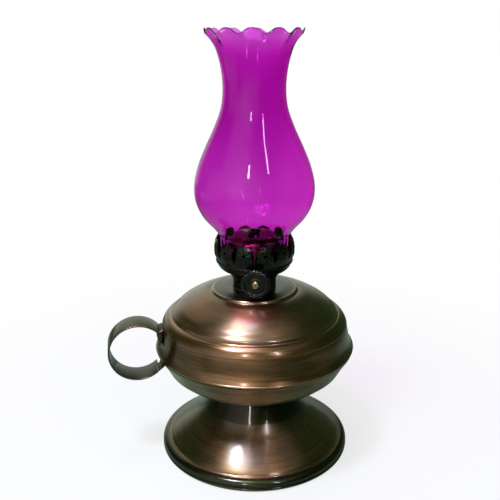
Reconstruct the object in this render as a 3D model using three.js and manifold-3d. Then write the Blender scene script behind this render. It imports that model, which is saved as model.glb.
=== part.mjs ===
// A hand-held oil lamp: a spun copper font on a flared foot with a finger ring, a screw-in
// flat-wick burner with a petalled gallery, and a tinted glass chimney with a scalloped mouth.
// Millimetres, +Z up. The origin is on the lamp's axis, at the surface the lamp stands on.
// The knob is at the front, towards -Y, and the finger ring is to the left, towards -X.
import * as THREE from 'three';
import { mergeVertices } from 'three/addons/utils/BufferGeometryUtils.js';
import Module from 'manifold-3d';

const wasm = await Module();
wasm.setup();

// ---------------------------------------------------------------- driving dimensions
const BODY_SEGMENTS = 36;
const BURNER_SEGMENTS = 36;
const SMALL_SEGMENTS = 24;
const GLASS_SEGMENTS = 60;
const GLASS_STEPS = 10;
const PETALS = 12;
const LOBES = 12;
const AIR_GAP = 0.3;

// Outlines are [radius, height] pairs. Each sheet part has an outer and an inner line.
const FOOT_OUTER = [
  [62.0, 0.3], [63.9, 0.3], [64.7, 1.6], [64.6, 3.4], [63.9, 5.4], [62.2, 6.9], [59.8, 7.6],
  [58.6, 9.0], [54.5, 12.2], [49.7, 16.0], [44.4, 20.2], [38.9, 24.9], [34.2, 29.8],
  [31.0, 34.2], [28.8, 38.2], [27.6, 41.6], [27.2, 44.6],
];
const FOOT_INNER = [
  [14.0, 44.6], [14.0, 43.8], [26.2, 43.8], [26.7, 41.4], [30.0, 34.0], [33.2, 29.4], [43.4, 19.4],
  [53.6, 11.3], [58.9, 6.6], [63.0, 4.2], [63.4, 1.4], [62.0, 1.3],
];
const FELT = { radius: 60.5, bottom: 0, top: 1.4 };
const BASE_PLATE = { radius: 61.4, bottom: 1.7, top: 2.5 };
const NECK_SOLDER = [[27.6, 45.1], [27.9, 43.4], [29.4, 45.3]];

const FONT_LOWER_OUTER = [
  [0, 44.9], [21.5, 44.9], [30.0, 45.9], [40.0, 48.3], [48.6, 52.2], [55.7, 57.2],
  [57.3, 58.8], [58.4, 59.4], [59.7, 62.0], [62.4, 67.0], [65.0, 71.0], [66.6, 72.6],
  [67.0, 73.6],
];
const FONT_LOWER_INNER = [
  [65.9, 73.6], [61.3, 67.2], [58.5, 62.0], [54.8, 58.0], [48.0, 53.2], [39.6, 49.4],
  [21.3, 45.9], [0, 45.9],
];
const FONT_UPPER_OUTER = [
  [67.0, 73.9], [67.0, 75.0], [66.2, 76.4], [64.0, 80.0], [63.1, 84.0], [62.2, 88.0],
  [61.8, 91.0], [61.3, 92.4], [60.4, 94.6], [57.9, 96.6], [56.0, 97.3], [55.4, 98.4],
  [54.0, 100.0], [49.9, 104.0], [43.3, 108.0], [35.7, 111.6], [30.4, 113.3], [29.2, 113.2],
  [28.8, 114.0], [27.9, 114.5], [21.0, 115.2], [14.4, 115.3],
];
const FONT_UPPER_INNER = [
  [14.4, 114.2], [20.0, 114.1], [28.0, 112.5], [34.9, 110.6], [48.9, 103.2], [53.4, 98.4], [57.4, 95.4],
  [60.0, 92.2], [62.9, 79.7], [65.9, 74.9], [65.9, 73.9],
];
const COLLAR = [
  [11.8, 108.0], [13.2, 108.0], [13.2, 112.6], [16.4, 112.6], [16.4, 113.9], [14.1, 113.9],
  [14.1, 115.3], [11.8, 115.3],
];

// The finger ring is a bent strip, soldered to the font on one side.
const RING = { azimuth: 191, centre: 79.2, height: 76.7, radius: 18.95, from: 34, to: 312 };
const STRIP = { width: 17.6, thick: 1.1, steps: 22 };
const UPPER_TAB = [[64.9, 80.6], [64.15, 83.6], [63.5, 86.3]];
const LOWER_TAB = { width: 11, thick: 0.9, from: [69.5, 58.5], to: [60.0, 65.9] };
const UPPER_SOLDER_LENGTH = 13;
const UPPER_SOLDER = [[61.0, 91.4], [61.0, 88.0], [62.7, 88.2], [63.5, 89.0], [64.2, 89.9]];
const LOWER_SOLDER_LENGTH = 9;
const LOWER_SOLDER = [[59.0, 68.9], [63.2, 64.2], [66.2, 63.4], [64.6, 66.6]];

// The burner. Its wick, wheels and knob are turned about the lamp's axis, because the
// spindle runs beside the wick while the knob faces the front.
const WORKS_TURN = THREE.MathUtils.degToRad(-9);
const SEAL = { inner: 11.9, outer: 14.4, bottom: 115.5, top: 116.1 };
const BURNER_BASE = [
  [10.5, 107.0], [11.5, 107.0], [11.5, 116.3], [13.2, 116.3], [13.2, 117.1], [0, 117.1],
  [0, 116.2], [10.5, 116.2],
];
const BURNER_BODY_OUTER = [
  [14.3, 116.3], [14.3, 120.6], [16.4, 125.0], [16.8, 126.1], [18.8, 127.0], [21.6, 128.5],
  [23.6, 130.6], [24.4, 132.7],
];
const BURNER_BODY_INNER = [
  [23.6, 132.7], [22.9, 131.0], [21.0, 129.3], [16.0, 126.9], [13.5, 121.0], [13.5, 116.3],
];
const INTAKE = { count: 12, radius: 1.3, circle: 20.3, first: Math.PI / 12, bottom: 124, top: 131 };
const GALLERY_OUTER = [
  [24.7, 133.0], [25.5, 133.6], [25.1, 134.6], [26.1, 139.5], [26.3, 143.0], [25.8, 146.6],
  [24.7, 149.5],
];
const GALLERY_INNER = [
  [23.9, 149.5], [25.0, 146.5], [25.5, 143.0], [25.2, 139.4], [24.2, 133.0],
];
// Half the gap between two petals, from its pointed foot to above their tips, as [across, up].
const PETAL_GAP = [
  [0, 137.6], [1.2, 140.4], [2.1, 143.2], [2.4, 145.6], [2.9, 147.4], [4.6, 149.0], [5.2, 151],
];
const PETAL_CUT = { middle: 26, depth: 8 };
const PLATE = { radius: 24.5, bottom: 136.6, top: 137.4 };
const PLATE_HOLES = { count: 12, radius: 1.4, circle: 13.5 };
const CONE_OUTER = [
  [19.6, 137.7], [19.4, 140.5], [18.2, 144.2], [15.4, 147.6], [11.0, 150.2], [0, 151.8],
];
const CONE_INNER = [
  [0, 151.0], [10.6, 149.4], [14.8, 146.9], [17.4, 143.8], [18.6, 140.3], [18.8, 137.7],
];
const FLAME_SLOT = { width: 7, length: 15.5, bottom: 145, top: 156 };
const WICK = { width: 12, thick: 2.2, bottom: 60, top: 149.2 };
const TUBE = { width: 13.6, thick: 4.0, wall: 0.6, bottom: 104, top: 147.4 };
const TUBE_HOLE = { slack: 0.8, bottom: 110, top: 140 };
const TUBE_WINDOW = { x: 2.0, thick: 1.6, width: 9.2, height: 9.2 };
const VENT = { x: -5.8, radius: 1.5, bore: 0.9, bottom: 108, top: 141 };
const SPINDLE = { x: 5.4, z: 127.3, radius: 1.0, back: 7.4, front: -31.0 };
const BORE = 1.25;
const WHEEL = { radius: 4.0, root: 3.1, teeth: 10, thick: 1.0, places: [3, -3] };
const CAGE = { left: 2.3, right: 10.6, cheek: 6.0, sheet: 0.8, relief: 4, bottom: 123.0, top: 131.6 };
const BUSH = { radius: 2.4, back: -12.5, front: -23.0 };
const KNOB = { radius: 9.4, root: 8.6, ridges: 24, back: -28.4, front: -31.4 };
const RIVET = { radius: 2.3, back: -31.7, front: -33.1 };

// The chimney: a straight fitter inside the petals, a bulb, a waist and a flared mouth.
const GLASS_WALL = 1.8;
const FITTER = { radius: 22.7, bottom: 138.0, top: 150.2 };
const GLASS_OUTER = [
  [23.2, 151.6], [26.2, 156], [33.2, 164], [37.8, 174], [38.5, 184], [35.8, 196], [30.9, 208],
  [25.3, 220], [20.9, 232], [19.55, 244], [20.6, 256], [23.1, 266],
];
const MOUTH = { radius: 29.9, height: 277.3, lean: 0.4, lift: 1.7, start: 262, sharpness: 1.5 };

// ---------------------------------------------------------------- materials
const finishes = {
  copper: { color: 0x6e5541, roughness: 0.38, metalness: 1 },
  blackened: { color: 0x151a18, roughness: 0.42, metalness: 0.8 },
  brass: { color: 0xb58a4c, roughness: 0.35, metalness: 1 },
  steel: { color: 0x8d8f90, roughness: 0.4, metalness: 1 },
  solder: { color: 0x6f6f68, roughness: 0.45, metalness: 0.9 },
  glass: { color: 0xa5149a, roughness: 0.05, metalness: 0 },
  cotton: { color: 0xe7dfcf, roughness: 0.95, metalness: 0 },
  cork: { color: 0x8a6038, roughness: 0.9, metalness: 0 },
  felt: { color: 0x1f3326, roughness: 1, metalness: 0 },
};

// ---------------------------------------------------------------- shape helpers
function piece(name, finish, geometry) {
  const mesh = new THREE.Mesh(geometry, new THREE.MeshStandardMaterial(finishes[finish]));
  mesh.name = name;
  return mesh;
}

// A solid of revolution about Z from a closed outline of [radius, height] pairs.
function lathe(outline, segments = BODY_SEGMENTS) {
  const points = outline.map(([radius, height]) => new THREE.Vector2(radius, height));
  if (THREE.ShapeUtils.area(points) < 0) points.reverse();
  points.push(points[0].clone());
  return new THREE.LatheGeometry(points, segments).rotateX(Math.PI / 2);
}

function disc(radius, bottom, top) {
  return lathe([[0, bottom], [radius, bottom], [radius, top], [0, top]]);
}

function ring(inner, outer, bottom, top, segments) {
  return lathe([[inner, bottom], [outer, bottom], [outer, top], [inner, top]], segments);
}

// A flat outline of [across, up] pairs, made `depth` thick along Y and centred on y = 0.
function slab(outline, depth) {
  const shape = new THREE.Shape(outline.map(([across, up]) => new THREE.Vector2(across, up)));
  const geometry = new THREE.ExtrudeGeometry(shape, { depth, bevelEnabled: false });
  return geometry.rotateX(Math.PI / 2).translate(0, depth / 2, 0);
}

function box(sizeX, sizeY, bottom, top, x = 0, y = 0) {
  return new THREE.BoxGeometry(sizeX, sizeY, top - bottom).translate(x, y, (bottom + top) / 2);
}

// A round bar along Y between two y values, on the spindle's line unless told otherwise.
function bar(radius, front, back, sides = 16, x = SPINDLE.x, z = SPINDLE.z) {
  return new THREE.CylinderGeometry(radius, radius, back - front, sides)
    .translate(0, (front + back) / 2, 0)
    .translate(x, 0, z);
}

function post(radius, bottom, top, x, y, sides = 10) {
  return new THREE.CylinderGeometry(radius, radius, top - bottom, sides)
    .rotateX(Math.PI / 2)
    .translate(x, y, (bottom + top) / 2);
}

// ---------------------------------------------------------------- boolean helpers
function toSolid(geometry) {
  const bare = geometry.clone();
  bare.deleteAttribute('normal');
  bare.deleteAttribute('uv');
  const merged = mergeVertices(bare, 1e-4);
  const index = merged.index.array;
  const corners = [];
  for (let i = 0; i < index.length; i += 3) {
    const [a, b, c] = [index[i], index[i + 1], index[i + 2]];
    if (a !== b && b !== c && c !== a) corners.push(a, b, c);
  }
  return new wasm.Manifold(new wasm.Mesh({
    numProp: 3,
    vertProperties: new Float32Array(merged.attributes.position.array),
    triVerts: new Uint32Array(corners),
  }));
}

function toGeometry(solid) {
  const mesh = solid.getMesh();
  const geometry = new THREE.BufferGeometry();
  geometry.setAttribute('position', new THREE.BufferAttribute(mesh.vertProperties, 3));
  geometry.setIndex(new THREE.BufferAttribute(mesh.triVerts, 1));
  geometry.computeVertexNormals();
  return geometry;
}

function cut(geometry, ...cutters) {
  let solid = toSolid(geometry);
  for (const cutter of cutters) solid = solid.subtract(toSolid(cutter));
  return toGeometry(solid);
}

// Copies of a cutter, evenly spaced about the lamp's axis.
function around(count, make, firstAngle = 0) {
  return Array.from({ length: count }, (_, i) => make().rotateZ(firstAngle + (i * 2 * Math.PI) / count));
}

// ---------------------------------------------------------------- foot and font
function makeFootAndFont() {
  const group = new THREE.Group();
  group.add(
    piece('felt_pad', 'felt', disc(FELT.radius, FELT.bottom, FELT.top)),
    piece('base_plate', 'steel', disc(BASE_PLATE.radius, BASE_PLATE.bottom, BASE_PLATE.top)),
    piece('foot', 'copper', lathe([...FOOT_OUTER, ...FOOT_INNER])),
    piece('neck_solder', 'solder', lathe(NECK_SOLDER)),
    piece('font_lower', 'copper', lathe([...FONT_LOWER_OUTER, ...FONT_LOWER_INNER])),
    piece('font_upper', 'copper', lathe([...FONT_UPPER_OUTER, ...FONT_UPPER_INNER])),
    piece('font_collar', 'brass', lathe(COLLAR, SMALL_SEGMENTS)),
  );
  return group;
}

// The space the font fills, with a little air round it, which the handle's ends stop at.
function fontSpace() {
  const outline = [...FONT_LOWER_OUTER, ...FONT_UPPER_OUTER];
  const grown = outline.map(([radius, height]) => [radius + AIR_GAP + 0.1, height]);
  return lathe([[0, FONT_LOWER_OUTER[0][1]], ...grown, [0, FONT_UPPER_OUTER.at(-1)[1]]]);
}

// ---------------------------------------------------------------- finger ring
// The outline of a strip of even thickness along a line of [across, up] points.
function stripOutline(line, thick) {
  const points = line.map(([across, up]) => new THREE.Vector2(across, up));
  const offset = (side) => points.map((point, i) => {
    const before = points[Math.max(i - 1, 0)];
    const after = points[Math.min(i + 1, points.length - 1)];
    const along = after.clone().sub(before).normalize();
    return [point.x - along.y * side * thick / 2, point.y + along.x * side * thick / 2];
  });
  return [...offset(1), ...offset(-1).reverse()];
}

function ringLine() {
  const line = [...UPPER_TAB];
  for (let i = 0; i <= STRIP.steps; i += 1) {
    const angle = THREE.MathUtils.degToRad(RING.from + ((RING.to - RING.from) * i) / STRIP.steps);
    line.push([
      RING.centre - RING.radius * Math.cos(angle),
      RING.height + RING.radius * Math.sin(angle),
    ]);
  }
  return line;
}

function makeHandle() {
  const group = new THREE.Group();
  group.rotation.z = THREE.MathUtils.degToRad(RING.azimuth);
  const strip = slab(stripOutline(ringLine(), STRIP.thick), STRIP.width);
  const tab = slab(stripOutline([LOWER_TAB.from, LOWER_TAB.to], LOWER_TAB.thick), LOWER_TAB.width);
  const upperSolder = slab(UPPER_SOLDER, UPPER_SOLDER_LENGTH);
  const lowerSolder = slab(LOWER_SOLDER, LOWER_SOLDER_LENGTH);
  group.add(
    piece('handle_ring', 'copper', cut(strip, fontSpace())),
    piece('handle_tab', 'copper', cut(tab, fontSpace())),
    piece('handle_solder_upper', 'solder', cut(upperSolder, fontSpace())),
    piece('handle_solder_lower', 'solder', cut(lowerSolder, fontSpace())),
  );
  return group;
}

// ---------------------------------------------------------------- burner shell
function makeBurnerShell() {
  const group = new THREE.Group();
  const { slack, bottom, top } = TUBE_HOLE;
  const tubeHole = box(TUBE.thick + slack, TUBE.width + slack, bottom, top).rotateZ(WORKS_TURN);
  const ventHole = post(VENT.radius + AIR_GAP, bottom, top, VENT.x, 0, 12).rotateZ(WORKS_TURN);
  const bushHole = bar(BUSH.radius + AIR_GAP, BUSH.front - 4, BUSH.back + 3).rotateZ(WORKS_TURN);
  const intakes = around(
    INTAKE.count,
    () => post(INTAKE.radius, INTAKE.bottom, INTAKE.top, INTAKE.circle, 0, 6),
    INTAKE.first,
  );
  const plateHoles = around(
    PLATE_HOLES.count,
    () => post(PLATE_HOLES.radius, PLATE.bottom - 1, PLATE.top + 1, PLATE_HOLES.circle, 0, 6),
  );
  const gapOutline = [
    ...PETAL_GAP,
    ...PETAL_GAP.slice(1).map(([across, up]) => [-across, up]).reverse(),
  ];
  const gaps = around(PETALS, () => slab(gapOutline, PETAL_CUT.depth).translate(0, -PETAL_CUT.middle, 0));
  const slot = box(FLAME_SLOT.width, FLAME_SLOT.length, FLAME_SLOT.bottom, FLAME_SLOT.top)
    .rotateZ(WORKS_TURN);
  const base = lathe(BURNER_BASE, SMALL_SEGMENTS);
  const body = lathe([...BURNER_BODY_OUTER, ...BURNER_BODY_INNER], BURNER_SEGMENTS);
  const gallery = lathe([...GALLERY_OUTER, ...GALLERY_INNER], BURNER_SEGMENTS);
  const plate = disc(PLATE.radius, PLATE.bottom, PLATE.top);
  const cone = lathe([...CONE_OUTER, ...CONE_INNER], BURNER_SEGMENTS);
  group.add(
    piece('seal_washer', 'cork', ring(SEAL.inner, SEAL.outer, SEAL.bottom, SEAL.top, SMALL_SEGMENTS)),
    piece('burner_base', 'brass', cut(base, tubeHole, ventHole)),
    piece('burner_body', 'blackened', cut(body, bushHole, ...intakes)),
    piece('gallery', 'blackened', cut(gallery, ...gaps)),
    piece('air_plate', 'blackened', cut(plate, tubeHole, ventHole, ...plateHoles)),
    piece('flame_cone', 'blackened', cut(cone, slot)),
  );
  return group;
}

// ---------------------------------------------------------------- wick and its drive
function makeTube() {
  const { width, thick, wall, bottom, top } = TUBE;
  const bore = box(thick - 2 * wall, width - 2 * wall, bottom - 1, top + 1);
  const low = SPINDLE.z - TUBE_WINDOW.height / 2;
  const high = SPINDLE.z + TUBE_WINDOW.height / 2;
  const window = box(TUBE_WINDOW.thick, TUBE_WINDOW.width, low, high, TUBE_WINDOW.x);
  return cut(box(thick, width, bottom, top), bore, window);
}

// Two cheeks and a back, folded from one strip, that carry the spindle beside the wick.
function makeCage() {
  const width = CAGE.right - CAGE.left;
  const middle = (CAGE.right + CAGE.left) / 2;
  const outside = box(width, 2 * CAGE.cheek, CAGE.bottom, CAGE.top, middle);
  const clear = 2 * (CAGE.cheek - CAGE.sheet);
  const inside = box(width, clear, CAGE.bottom - 1, CAGE.top + 1, middle - CAGE.sheet);
  const clearance = box(CAGE.relief, clear, CAGE.bottom - 1, CAGE.top + 1, CAGE.left);
  return cut(outside, inside, clearance, bar(BORE, -CAGE.cheek - 3, CAGE.cheek + 3));
}

// A toothed outline round the spindle's line, with a bore through its middle.
function toothed(count, tip, root, front, back) {
  const outline = [];
  for (let i = 0; i < 2 * count; i += 1) {
    const angle = (Math.PI * i) / count;
    const radius = i % 2 ? root : tip;
    outline.push([SPINDLE.x + radius * Math.cos(angle), SPINDLE.z + radius * Math.sin(angle)]);
  }
  const wheel = slab(outline, back - front).translate(0, (front + back) / 2, 0);
  return cut(wheel, bar(BORE, front - 1, back + 1));
}

function makeRivet() {
  const length = RIVET.back - RIVET.front;
  const head = lathe([[0, 0], [RIVET.radius, 0], [RIVET.radius * 0.85, length * 0.6], [0, length]], 16);
  return head.rotateX(Math.PI / 2).translate(SPINDLE.x, RIVET.back, SPINDLE.z);
}

function makeWorks() {
  const group = new THREE.Group();
  group.rotation.z = WORKS_TURN;
  const vent = ring(VENT.bore, VENT.radius, VENT.bottom, VENT.top, 12).translate(VENT.x, 0, 0);
  const bush = cut(bar(BUSH.radius, BUSH.front, BUSH.back), bar(BORE, BUSH.front - 1, BUSH.back + 1));
  group.add(
    piece('wick_tube', 'brass', makeTube()),
    piece('vent_tube', 'brass', vent),
    piece('wheel_cage', 'brass', makeCage()),
    piece('spindle_bush', 'blackened', bush),
    piece('spindle', 'steel', bar(SPINDLE.radius, SPINDLE.front, SPINDLE.back)),
    piece('knob', 'blackened', toothed(KNOB.ridges, KNOB.radius, KNOB.root, KNOB.front, KNOB.back)),
    piece('knob_rivet', 'brass', makeRivet()),
    piece('wick', 'cotton', box(WICK.thick, WICK.width, WICK.bottom, WICK.top)),
  );
  WHEEL.places.forEach((y, i) => {
    const wheel = toothed(WHEEL.teeth, WHEEL.radius, WHEEL.root, y - WHEEL.thick / 2, y + WHEEL.thick / 2);
    group.add(piece(`spur_wheel_${i + 1}`, 'brass', wheel));
  });
  return group;
}

// ---------------------------------------------------------------- chimney
// The mouth rises twelve times round the rim, in broad lobes that lean out and tight notches.
function scallop(geometry) {
  const position = geometry.attributes.position;
  const point = new THREE.Vector3();
  for (let i = 0; i < position.count; i += 1) {
    point.fromBufferAttribute(position, i);
    if (point.z > MOUTH.start) {
      const reach = ((point.z - MOUTH.start) / (MOUTH.height - MOUTH.start)) ** 2;
      const wave = (0.5 - 0.5 * Math.cos(LOBES * Math.atan2(point.y, point.x))) ** MOUTH.sharpness;
      const swing = (1 - 2 * wave) * reach;
      const stretch = 1 + (MOUTH.lean * swing) / Math.hypot(point.x, point.y);
      point.x *= stretch;
      point.y *= stretch;
      point.z += MOUTH.lift * swing;
      position.setXYZ(i, point.x, point.y, point.z);
    }
  }
  return geometry;
}

function makeChimney() {
  const line = [...GLASS_OUTER, [MOUTH.radius, MOUTH.height]];
  const curve = new THREE.SplineCurve(line.map(([radius, height]) => new THREE.Vector2(radius, height)));
  const bore = FITTER.radius - GLASS_WALL;
  const outer = [[FITTER.radius, FITTER.bottom], [FITTER.radius, FITTER.top]];
  const inner = [[bore, FITTER.bottom], [bore, FITTER.top + 0.8]];
  for (let i = 0; i <= GLASS_STEPS; i += 1) {
    const point = curve.getPoint(i / GLASS_STEPS);
    const along = curve.getTangent(i / GLASS_STEPS);
    outer.push([point.x, point.y]);
    inner.push([point.x - along.y * GLASS_WALL, point.y + along.x * GLASS_WALL]);
  }
  return scallop(lathe([...outer, ...inner.reverse()], GLASS_SEGMENTS));
}

const lamp = new THREE.Group();
lamp.add(makeFootAndFont(), makeHandle(), makeBurnerShell(), makeWorks());
lamp.add(piece('chimney', 'glass', makeChimney()));

export default lamp;
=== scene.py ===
"""A hand-held oil lamp in antique copper and magenta glass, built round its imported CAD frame.

Everything is in metres in the CAD's own frame: the origin is on the lamp's axis at the face it
stands on, +Z up, the wick knob towards -Y and the finger ring towards -X.  Outlines below are
[radius, height] pairs in millimetres, as the CAD has them, and are scaled as they are built.
"""
import math

import bmesh
import bpy
import numpy as np
from mathutils import Matrix, Vector


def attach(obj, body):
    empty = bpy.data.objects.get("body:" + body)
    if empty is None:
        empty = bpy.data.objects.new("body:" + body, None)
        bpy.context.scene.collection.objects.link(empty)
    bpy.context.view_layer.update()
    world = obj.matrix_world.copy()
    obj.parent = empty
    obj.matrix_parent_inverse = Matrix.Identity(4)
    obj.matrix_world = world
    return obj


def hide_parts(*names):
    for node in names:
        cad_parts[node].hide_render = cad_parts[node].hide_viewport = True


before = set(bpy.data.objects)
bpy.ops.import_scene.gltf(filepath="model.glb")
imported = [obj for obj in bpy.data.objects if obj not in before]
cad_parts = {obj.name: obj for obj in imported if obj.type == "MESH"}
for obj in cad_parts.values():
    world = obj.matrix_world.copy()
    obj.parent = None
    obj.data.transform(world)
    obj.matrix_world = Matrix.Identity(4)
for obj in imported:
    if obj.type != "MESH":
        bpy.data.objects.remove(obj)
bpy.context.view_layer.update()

MM = 0.001
TAU = 2 * math.pi
scene = bpy.context.scene

# The works turn with the CAD: the spindle runs beside the wick and the knob faces the front.
WORKS_TURN = math.radians(-9)
SPINDLE_X, SPINDLE_Z = 5.4, 127.3
VENT_X = -5.8
# How far the mouth's wave of lobes is shifted, and where the finger ring stands round the font.
MOUTH_SHIFT = math.radians(36)
RING_AZIMUTH = math.radians(191)


# ------------------------------------------------------------------ camera
def make_camera():
    data = bpy.data.cameras.new("camera")
    data.lens = 50
    data.sensor_width = 36
    data.clip_start = 0.01
    camera = bpy.data.objects.new("camera", data)
    camera.location = (-0.0026, -0.4354, 0.2779)
    camera.rotation_euler = (math.radians(90 - 17.58), math.radians(0.12), 0)
    scene.collection.objects.link(camera)
    scene.camera = camera


make_camera()


# ------------------------------------------------------------------ node helpers
class Tree:
    """A short way to write a node tree. A value may be a number, a colour or another node's socket."""

    def __init__(self, tree):
        self.tree = tree

    def new(self, kind):
        return self.tree.nodes.new("ShaderNode" + kind)

    def put(self, socket, target):
        if isinstance(socket, (int, float)):
            target.default_value = socket
        elif isinstance(socket, (tuple, list)):
            target.default_value = (*socket, 1) if len(target.default_value) == 4 else socket
        else:
            self.tree.links.new(socket, target)

    def operate(self, kind, operation, a, b):
        node = self.new(kind)
        node.operation = operation
        self.put(a, node.inputs[0])
        self.put(b, node.inputs[1])
        return node.outputs

    def maths(self, operation, a, b=0.0):
        return self.operate("Math", operation, a, b)[0]

    def vector_maths(self, operation, a, b):
        return self.operate("VectorMath", operation, a, b)[0]

    def scaled(self, vector, factors):
        return self.vector_maths("MULTIPLY", vector, factors)

    def split(self, vector):
        node = self.new("SeparateXYZ")
        self.put(vector, node.inputs[0])
        return node.outputs

    def join(self, x, y, z):
        node = self.new("CombineXYZ")
        for value, target in zip((x, y, z), node.inputs):
            self.put(value, target)
        return node.outputs[0]

    def noise(self, vector, scale, detail=2.0, roughness=0.5, w=None):
        node = self.new("TexNoise")
        if w is not None:
            node.noise_dimensions = "4D"
            self.put(w, node.inputs["W"])
        self.put(vector, node.inputs["Vector"])
        node.inputs["Scale"].default_value = scale
        node.inputs["Detail"].default_value = detail
        node.inputs["Roughness"].default_value = roughness
        return node.outputs["Fac"]

    def voronoi(self, vector, scale):
        node = self.new("TexVoronoi")
        self.put(vector, node.inputs["Vector"])
        node.inputs["Scale"].default_value = scale
        return node.outputs["Distance"]

    def remap(self, value, low, high, to_low=0.0, to_high=1.0):
        node = self.new("MapRange")
        node.interpolation_type = "SMOOTHSTEP"
        self.put(value, node.inputs["Value"])
        limits = {"From Min": low, "From Max": high, "To Min": to_low, "To Max": to_high}
        for key, number in limits.items():
            node.inputs[key].default_value = number
        return node.outputs["Result"]

    def blend(self, factor, a, b, mode="MIX"):
        node = self.new("Mix")
        node.data_type = "RGBA"
        node.blend_type = mode
        self.put(factor, node.inputs["Factor"])
        self.put(a, node.inputs[6])
        self.put(b, node.inputs[7])
        return node.outputs[2]

    def bump(self, height, distance, strength=1.0, under=None):
        node = self.new("Bump")
        node.inputs["Distance"].default_value = distance
        node.inputs["Strength"].default_value = strength
        self.put(height, node.inputs["Height"])
        if under is not None:
            self.put(under, node.inputs["Normal"])
        return node.outputs[0]


class Nodes(Tree):
    """A new material's node tree, round its Principled shader."""

    def __init__(self, name):
        self.material = bpy.data.materials.new(name)
        self.material.use_nodes = True
        super().__init__(self.material.node_tree)
        self.shader = self.tree.nodes["Principled BSDF"]
        self.output = self.tree.nodes["Material Output"]
        self.coords = self.new("TexCoord").outputs["Object"]

    def set(self, **values):
        for key, value in values.items():
            self.shader.inputs[key.replace("_", " ")].default_value = value

    def finish(self, colour, roughness=None, normal=None):
        self.put(colour, self.shader.inputs["Base Color"])
        if roughness is not None:
            self.put(roughness, self.shader.inputs["Roughness"])
        if normal is not None:
            self.put(normal, self.shader.inputs["Normal"])
        return self.material


# ------------------------------------------------------------------ materials
def turned_streaks(n, across=900, around=2.5):
    """Fine and broad marks that run round the lamp's axis, as a lathe and a brush leave them."""
    x, y, z = n.split(n.coords)
    radius = n.maths("SQRT", n.maths("ADD", n.maths("MULTIPLY", x, x), n.maths("MULTIPLY", y, y)))
    cos = n.maths("DIVIDE", x, n.maths("MAXIMUM", radius, 1e-4))
    sin = n.maths("DIVIDE", y, n.maths("MAXIMUM", radius, 1e-4))
    place = n.scaled(n.join(radius, z, cos), (across, across, around))
    fine = n.noise(place, 1.0, 3.0, 0.6, w=n.maths("MULTIPLY", sin, around))
    wide_place = n.scaled(place, (0.12, 0.12, 0.6))
    broad = n.noise(wide_place, 1.0, 2.0, 0.5, w=n.maths("MULTIPLY", sin, around * 0.6))
    return fine, broad, z


def height_bands(n, z, bands):
    """1 near each of the heights given (centre and half width, in millimetres), 0 away from them."""
    total = None
    for centre, half in bands:
        away = n.maths("ABSOLUTE", n.maths("SUBTRACT", z, centre * MM))
        near = n.remap(away, 0.35 * half * MM, half * MM, 1.0, 0.0)
        total = near if total is None else n.maths("MAXIMUM", total, near)
    return total


def copper(name, wear_and_highlight_bands, fade=(), light=(0.335, 0.146, 0.056), dark=(0.195, 0.102, 0.034),
           marks=1.0, lacquer=(0.22, 1.68)):
    """Antique copper plate under lacquer: brushed round the axis, with pale bands for edge wear and painted
    highlights.

    Wear and highlight bands are heights where the plate is paler, as (centre, half width): partly edge wear,
    partly painted highlight lines. Fade is the two heights between which the plate is painted darker upwards,
    as painted shade, all in millimetres. Marks is how strong the brushing is; the lacquer is given as its
    roughness and IOR.
    """
    n = Nodes(name)
    n.set(Metallic=1.0, Anisotropic=0.55, Anisotropic_Rotation=0.25)
    n.set(Coat_Weight=1.0, Coat_Roughness=lacquer[0], Coat_IOR=lacquer[1])
    tangent = n.new("Tangent")
    tangent.direction_type = "RADIAL"
    tangent.axis = "Z"
    n.put(tangent.outputs[0], n.shader.inputs["Tangent"])
    fine, broad, z = turned_streaks(n)
    patches = n.noise(n.coords, 26, 3, 0.55)
    cloud = n.noise(n.coords, 80, 4, 0.6)
    base = n.blend(n.remap(patches, 0.36, 0.64), dark, light)
    base = n.blend(n.remap(cloud, 0.45, 0.75, 0.0, 0.35), base, (0.090, 0.066, 0.024))
    streak = n.remap(fine, 0.30, 0.70, 1 - 0.22 * marks, 1 + 0.22 * marks)
    lane = n.remap(broad, 0.30, 0.70, 1 - 0.16 * marks, 1 + 0.16 * marks)
    shade = n.maths("MULTIPLY", streak, lane)
    base = n.blend(1.0, base, n.join(shade, shade, shade), "MULTIPLY")
    # Painted shade: between the fade heights the plate is drawn near black upwards, for the shade under the
    # font.
    if fade:
        base = n.blend(n.remap(z, fade[0] * MM, fade[1] * MM), base, (0.020, 0.020, 0.008))
    # Paler copper in bands at the given heights: partly edge wear, partly painted highlight lines.
    edge_wear_and_highlight = height_bands(n, z, wear_and_highlight_bands)
    pale_wear_and_highlight = n.maths("MULTIPLY", edge_wear_and_highlight, n.remap(broad, 0.25, 0.6, 0.4, 0.9))
    base = n.blend(pale_wear_and_highlight, base, (0.52, 0.28, 0.17))
    roughness = n.maths("ADD", n.remap(fine, 0.25, 0.75, 0.27, 0.37), n.remap(cloud, 0.4, 0.8, 0.0, 0.05))
    roughness = n.maths("MULTIPLY", roughness, n.remap(edge_wear_and_highlight, 0.0, 1.0, 1.0, 0.65))
    normal = n.bump(fine, 0.00003, 0.4 * marks)
    return n.finish(base, roughness, normal)


def strip_copper(name, dark, light):
    """The ring's strip: rolled flat, so its marks run along it."""
    n = Nodes(name)
    n.set(Metallic=1.0, Anisotropic=0.4)
    n.set(Coat_Weight=0.7, Coat_Roughness=0.16, Coat_IOR=1.6)
    marks = n.noise(n.scaled(n.coords, (400, 1500, 400)), 1.0, 3, 0.6)
    patches = n.noise(n.coords, 60, 3, 0.55)
    base = n.blend(n.remap(patches, 0.36, 0.64), dark, light)
    streak = n.remap(marks, 0.30, 0.70, 0.78, 1.22)
    base = n.blend(1.0, base, n.join(streak, streak, streak), "MULTIPLY")
    return n.finish(base, n.remap(marks, 0.25, 0.75, 0.26, 0.40), n.bump(marks, 0.00003, 0.4))


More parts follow.
